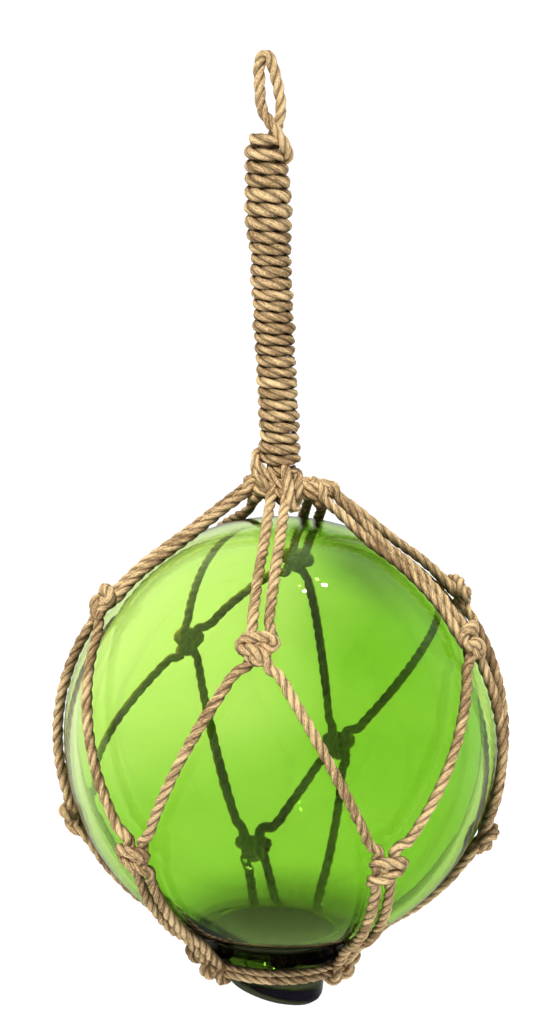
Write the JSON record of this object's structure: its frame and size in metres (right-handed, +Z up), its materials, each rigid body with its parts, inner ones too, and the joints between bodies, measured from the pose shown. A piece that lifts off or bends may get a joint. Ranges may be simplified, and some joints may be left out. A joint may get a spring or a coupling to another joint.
{
  "type": "glass float ball",
  "caption": "Hollow green glass float ball in a knotted jute net, closed by cord rings above and below, hanging from a whipped cord handle with an eye.",
  "frame": {"origin": "inside top of the eye at the end of the cord handle, where a hook or nail carries the float", "axes": "+Z up along the hanging handle, -Y the pictured front, +X to the right as seen from the front"},
  "size_m": [0.1579, 0.1537, 0.3259],
  "materials": {
    "glass": "clear bright green glass, glossy, with a darker seal",
    "cord": "three-strand laid jute, tan, slightly hairy"
  },
  "bodies": {
    "root": {"glass_float": "glass", "net": "cord", "top_ring": "cord", "bottom_ring": "cord", "hanging_loop": "cord", "handle_whipping": "cord"}
  },
  "joints": []
}
